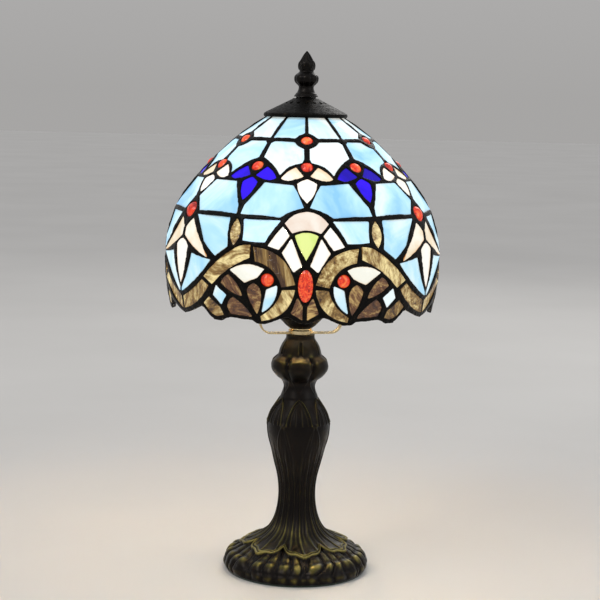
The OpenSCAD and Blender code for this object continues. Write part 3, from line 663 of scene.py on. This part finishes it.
def build_seams():
    """The seams as round beads of solder: the CAD lattice, remeshed finely and rounded over."""
    voxel = 0.0005
    mesh = nodes["solder_lattice"].data.copy()
    mesh.name = "solder_seams"
    piece = new_piece("solder_seams", mesh, patina_solder(), "shade", "solder", "solder_lattice")
    piece.hide_render = piece.hide_viewport = False
    remesh = piece.modifiers.new("even_mesh", "REMESH")
    remesh.mode = "VOXEL"
    remesh.voxel_size = voxel
    remesh.use_smooth_shade = True
    rounding = piece.modifiers.new("rounding", "SMOOTH")
    rounding.factor = 0.5
    rounding.iterations = 9
    swell = piece.modifiers.new("swell", "DISPLACE")
    swell.strength = 0.00012
    swell.mid_level = 0
    lumps = bpy.data.textures.new("lumps", "CLOUDS")
    lumps.noise_scale = 0.004
    lumps.noise_depth = 1
    uneven = piece.modifiers.new("uneven", "DISPLACE")
    uneven.texture = lumps
    uneven.texture_coords = "LOCAL"
    uneven.strength = 0.0005
    uneven.mid_level = 0.5
    return piece


# ---------- carried-over CAD nodes ----------


def dress_nodes():
    """Gives each CAD node that stays in sight its material and smooth shading."""
    shared = {}
    by_slot = {
        "glass_sky": sky_glass, "glass_cream": cream_glass, "glass_white": white_glass,
        "glass_cobalt": cobalt_glass, "glass_red": red_glass, "glass_pink": pink_glass,
        "glass_green": green_glass, "glass_brown": brown_glass, "glass_amber": amber_glass,
        "solder": patina_solder, "cast_bronze": black_bronze, "dark_bronze": black_bronze,
        "brass": brass, "steel": steel, "felt": felt, "black_plastic": moulded_plastic,
        "bulb_glass": lit_bulb, "cap_metal": steel, "tungsten": tungsten,
    }
    by_name = {"bulb_stem": clear_glass, "finial_washer": black_bronze}
    slot_of = {part["node"]: part["material_slot"] for part in frame["record"]["subparts"]}
    for name, node in nodes.items():
        if node.hide_render:
            continue
        make = by_name.get(name, by_slot[slot_of[name]])
        if make not in shared:
            shared[make] = make()
        node.data.materials.clear()
        node.data.materials.append(shared[make])
        smooth_shading(node.data)


# ---------- stage, light and camera ----------


ZENITH = (0.62, 0.62, 0.63)
HORIZON = (0.385, 0.378, 0.372)         # as bright as the floor far away


def build_stage():
    """A plain pale floor."""
    half = 12.0
    mesh = bpy.data.meshes.new("floor")
    corners = [(-half, -half, 0), (half, -half, 0), (half, half, 0), (-half, half, 0)]
    mesh.from_pydata(corners, [], [(0, 1, 2, 3)])
    floor = bpy.data.objects.new("floor", mesh)
    bpy.context.scene.collection.objects.link(floor)
    t = Tree("pale_floor", Roughness=0.65)
    t.set(Base_Color=t.ramp(t.noise(3, 3), (0.3, (0.60, 0.59, 0.57)), (0.7, (0.64, 0.63, 0.61))))
    mesh.materials.append(t.material)


def softbox(name, at, size, watts, colour):
    light = bpy.data.lights.new(name, "AREA")
    light.shape = "DISK"
    light.size, light.energy, light.color = size, watts, colour
    made = bpy.data.objects.new(name, light)
    made.location = at
    made.rotation_euler = (Vector((0, 0, 0.2)) - Vector(at)).to_track_quat("-Z", "Y").to_euler()
    bpy.context.scene.collection.objects.link(made)


def build_light():
    world = bpy.data.worlds.new("studio")
    bpy.context.scene.world = world
    world.use_nodes = True
    tree = world.node_tree
    direction = tree.nodes.new("ShaderNodeTexCoord")
    height = tree.nodes.new("ShaderNodeSeparateXYZ")
    sky = tree.nodes.new("ShaderNodeValToRGB")
    tree.links.new(direction.outputs["Generated"], height.inputs[0])
    tree.links.new(height.outputs["Z"], sky.inputs["Fac"])
    tree.links.new(sky.outputs["Color"], tree.nodes["Background"].inputs["Color"])
    sky.color_ramp.elements[0].position, sky.color_ramp.elements[1].position = 0.0, 0.5
    sky.color_ramp.elements[0].color = (*HORIZON, 1)
    sky.color_ramp.elements[1].color = (*ZENITH, 1)
    softbox("key", (-1.1, -1.2, 1.5), 1.0, 12, (1.0, 0.97, 0.93))
    softbox("fill", (1.4, -0.8, 0.8), 1.2, 4, (0.93, 0.96, 1.0))
    softbox("back", (0.5, 1.5, 1.3), 1.0, 6, (1.0, 0.98, 0.95))


def build_camera():
    """A long lens at about the height of the shade, looking slightly down."""
    data = bpy.data.cameras.new("camera")
    data.lens, data.sensor_width = 97.25, 36
    data.clip_start, data.clip_end = 0.05, 60
    camera = bpy.data.objects.new("camera", data)
    bpy.context.scene.collection.objects.link(camera)
    round_lamp = Matrix.Rotation(math.radians(-1.1), 4, "Z")
    place = Matrix.Translation((-0.00957, -1.2213, 0.3658))
    pan = Matrix.Rotation(math.radians(-0.404), 4, "Z")
    tilt = Matrix.Rotation(math.radians(90 - 7.322), 4, "X")
    roll = Matrix.Rotation(math.radians(1.335), 4, "Z")
    camera.matrix_world = round_lamp @ place @ (pan @ tilt) @ roll
    bpy.context.scene.camera = camera
    bpy.context.scene.view_settings.view_transform = "Standard"


build_stage()
build_light()
build_camera()
build_base()
build_finial()
build_seams()
dress_nodes()
